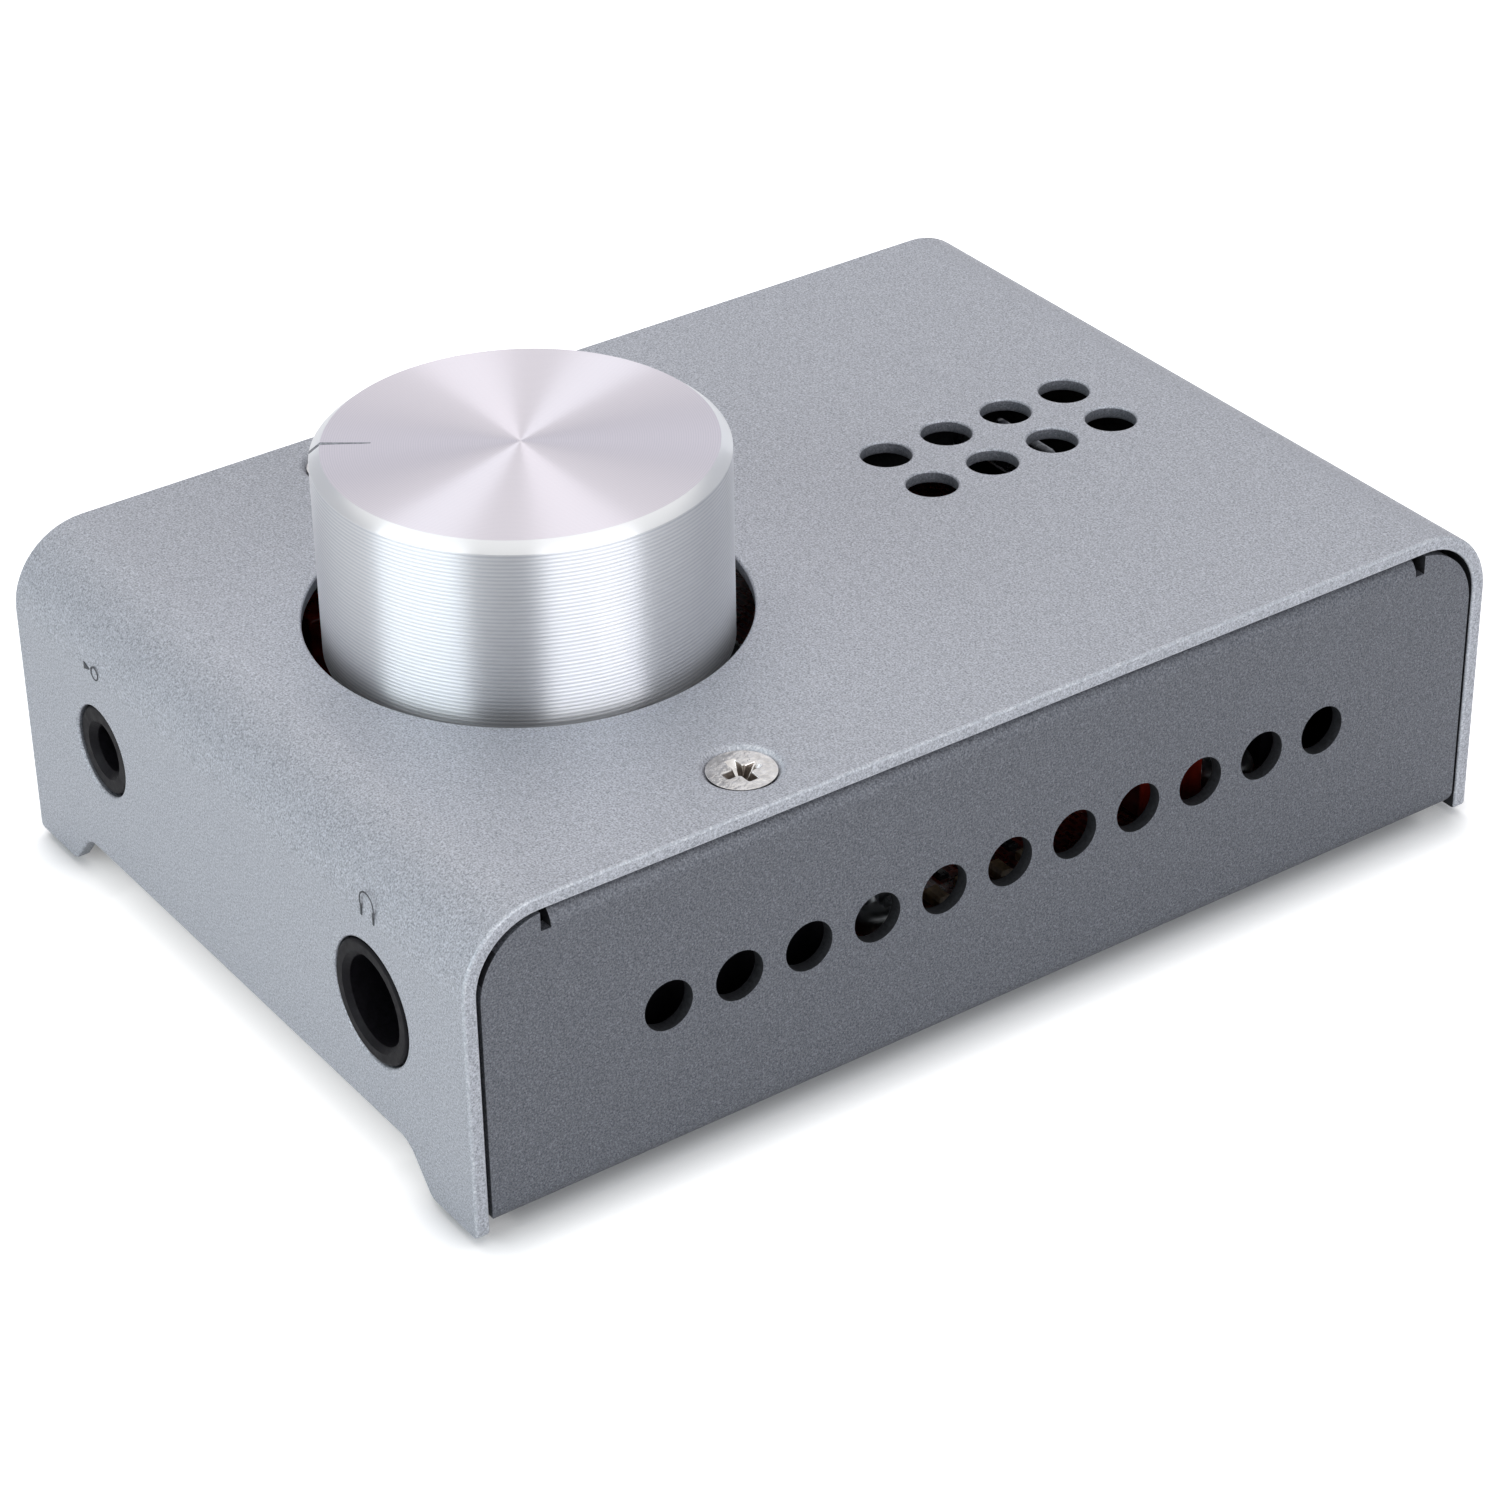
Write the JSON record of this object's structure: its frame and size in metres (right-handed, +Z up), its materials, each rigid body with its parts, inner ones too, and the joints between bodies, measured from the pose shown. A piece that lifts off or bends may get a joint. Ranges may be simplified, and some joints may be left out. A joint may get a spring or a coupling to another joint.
{
  "type": "headphone amplifier",
  "caption": "Desktop headphone amplifier: folded sheet-metal case with a turned volume knob on top, headphone and microphone sockets in front, and line and USB sockets at the rear.",
  "frame": {"origin": "middle of the footprint, on the surface that the feet stand on", "axes": "+X to the right seen from the front, +Y to the rear, +Z up; the front wall with the headphone socket faces -Y"},
  "size_m": [0.0624, 0.0889, 0.0392],
  "materials": {
    "silver_powder_coat": "fine textured silver powder coat with a soft sparkle",
    "grey_powder_coat": "textured dark grey powder coat",
    "zinc_steel": "zinc plated",
    "nickel_screw": "bright nickel plate",
    "foot_rubber": "matte",
    "turned_aluminium": "turned, clear anodised",
    "black_oxide_steel": "black oxide",
    "shaft_aluminium": "turned",
    "rotor_plastic": "moulded acetal",
    "contact_bronze": "plated phosphor bronze",
    "bushing_brass": "turned",
    "phenolic_wafer": "phenolic paper",
    "tinned_lead": "tin plated",
    "board_laminate": "dark solder mask",
    "jack_plastic": "moulded nylon",
    "socket_steel": "nickel plated steel",
    "chip_epoxy": "moulded epoxy",
    "film_box_red": "moulded box",
    "can_aluminium": "drawn can",
    "sleeve_plastic": "shrunk sleeve",
    "crystal_can": "nickel plated can",
    "ferrite_grey": "shielded ferrite",
    "ceramic_tan": "fired ceramic",
    "resistor_black": "coated ceramic"
  },
  "bodies": {
    "case": {"amplifier_chips": "chip_epoxy", "board_screws": "nickel_screw", "board_standoffs": "zinc_steel", "bottom_chassis": "grey_powder_coat", "capacitor_cans": "can_aluminium", "capacitor_leads": "tinned_lead", "capacitor_sleeves": "sleeve_plastic", "ceramic_capacitors": "ceramic_tan", "chip_pins": "tinned_lead", "chip_resistors": "resistor_black", "circuit_board": "board_laminate", "clinch_nuts": "zinc_steel", "clock_crystals": "crystal_can", "cover_screws": "nickel_screw", "dac_chip": "chip_epoxy", "data_usb_contacts": "contact_bronze", "data_usb_insulator": "jack_plastic", "data_usb_shell": "socket_steel", "film_capacitors": "film_box_red", "headphone_jack_body": "jack_plastic", "headphone_jack_springs": "contact_bronze", "line_input_jack_body": "jack_plastic", "line_input_jack_springs": "contact_bronze", "line_output_jack_body": "jack_plastic", "line_output_jack_springs": "contact_bronze", "microphone_chip": "chip_epoxy", "microphone_jack_body": "jack_plastic", "microphone_jack_springs": "contact_bronze", "pot_bushing": "bushing_brass", "pot_housing": "zinc_steel", "pot_terminals": "tinned_lead", "pot_track": "phenolic_wafer", "power_inductors": "ferrite_grey", "power_usb_contacts": "contact_bronze", "power_usb_insulator": "jack_plastic", "power_usb_shell": "socket_steel", "preamp_output_jack_body": "jack_plastic", "preamp_output_jack_springs": "contact_bronze", "rubber_feet": "foot_rubber", "top_cover": "silver_powder_coat", "usb_controller_chip": "chip_epoxy", "voltage_regulators": "chip_epoxy"},
    "knob": {"volume_knob": "turned_aluminium", "knob_set_screw": "black_oxide_steel", "pot_shaft": "shaft_aluminium", "pot_rotor": "rotor_plastic", "pot_wiper": "contact_bronze"}
  },
  "joints": [
    {"name": "knob_turn", "type": "hinge", "parent": "case", "child": "knob", "pos_m": [0, -0.01909, 0], "axis": [0, 0, 1], "range_deg": [-300, 0]}
  ]
}
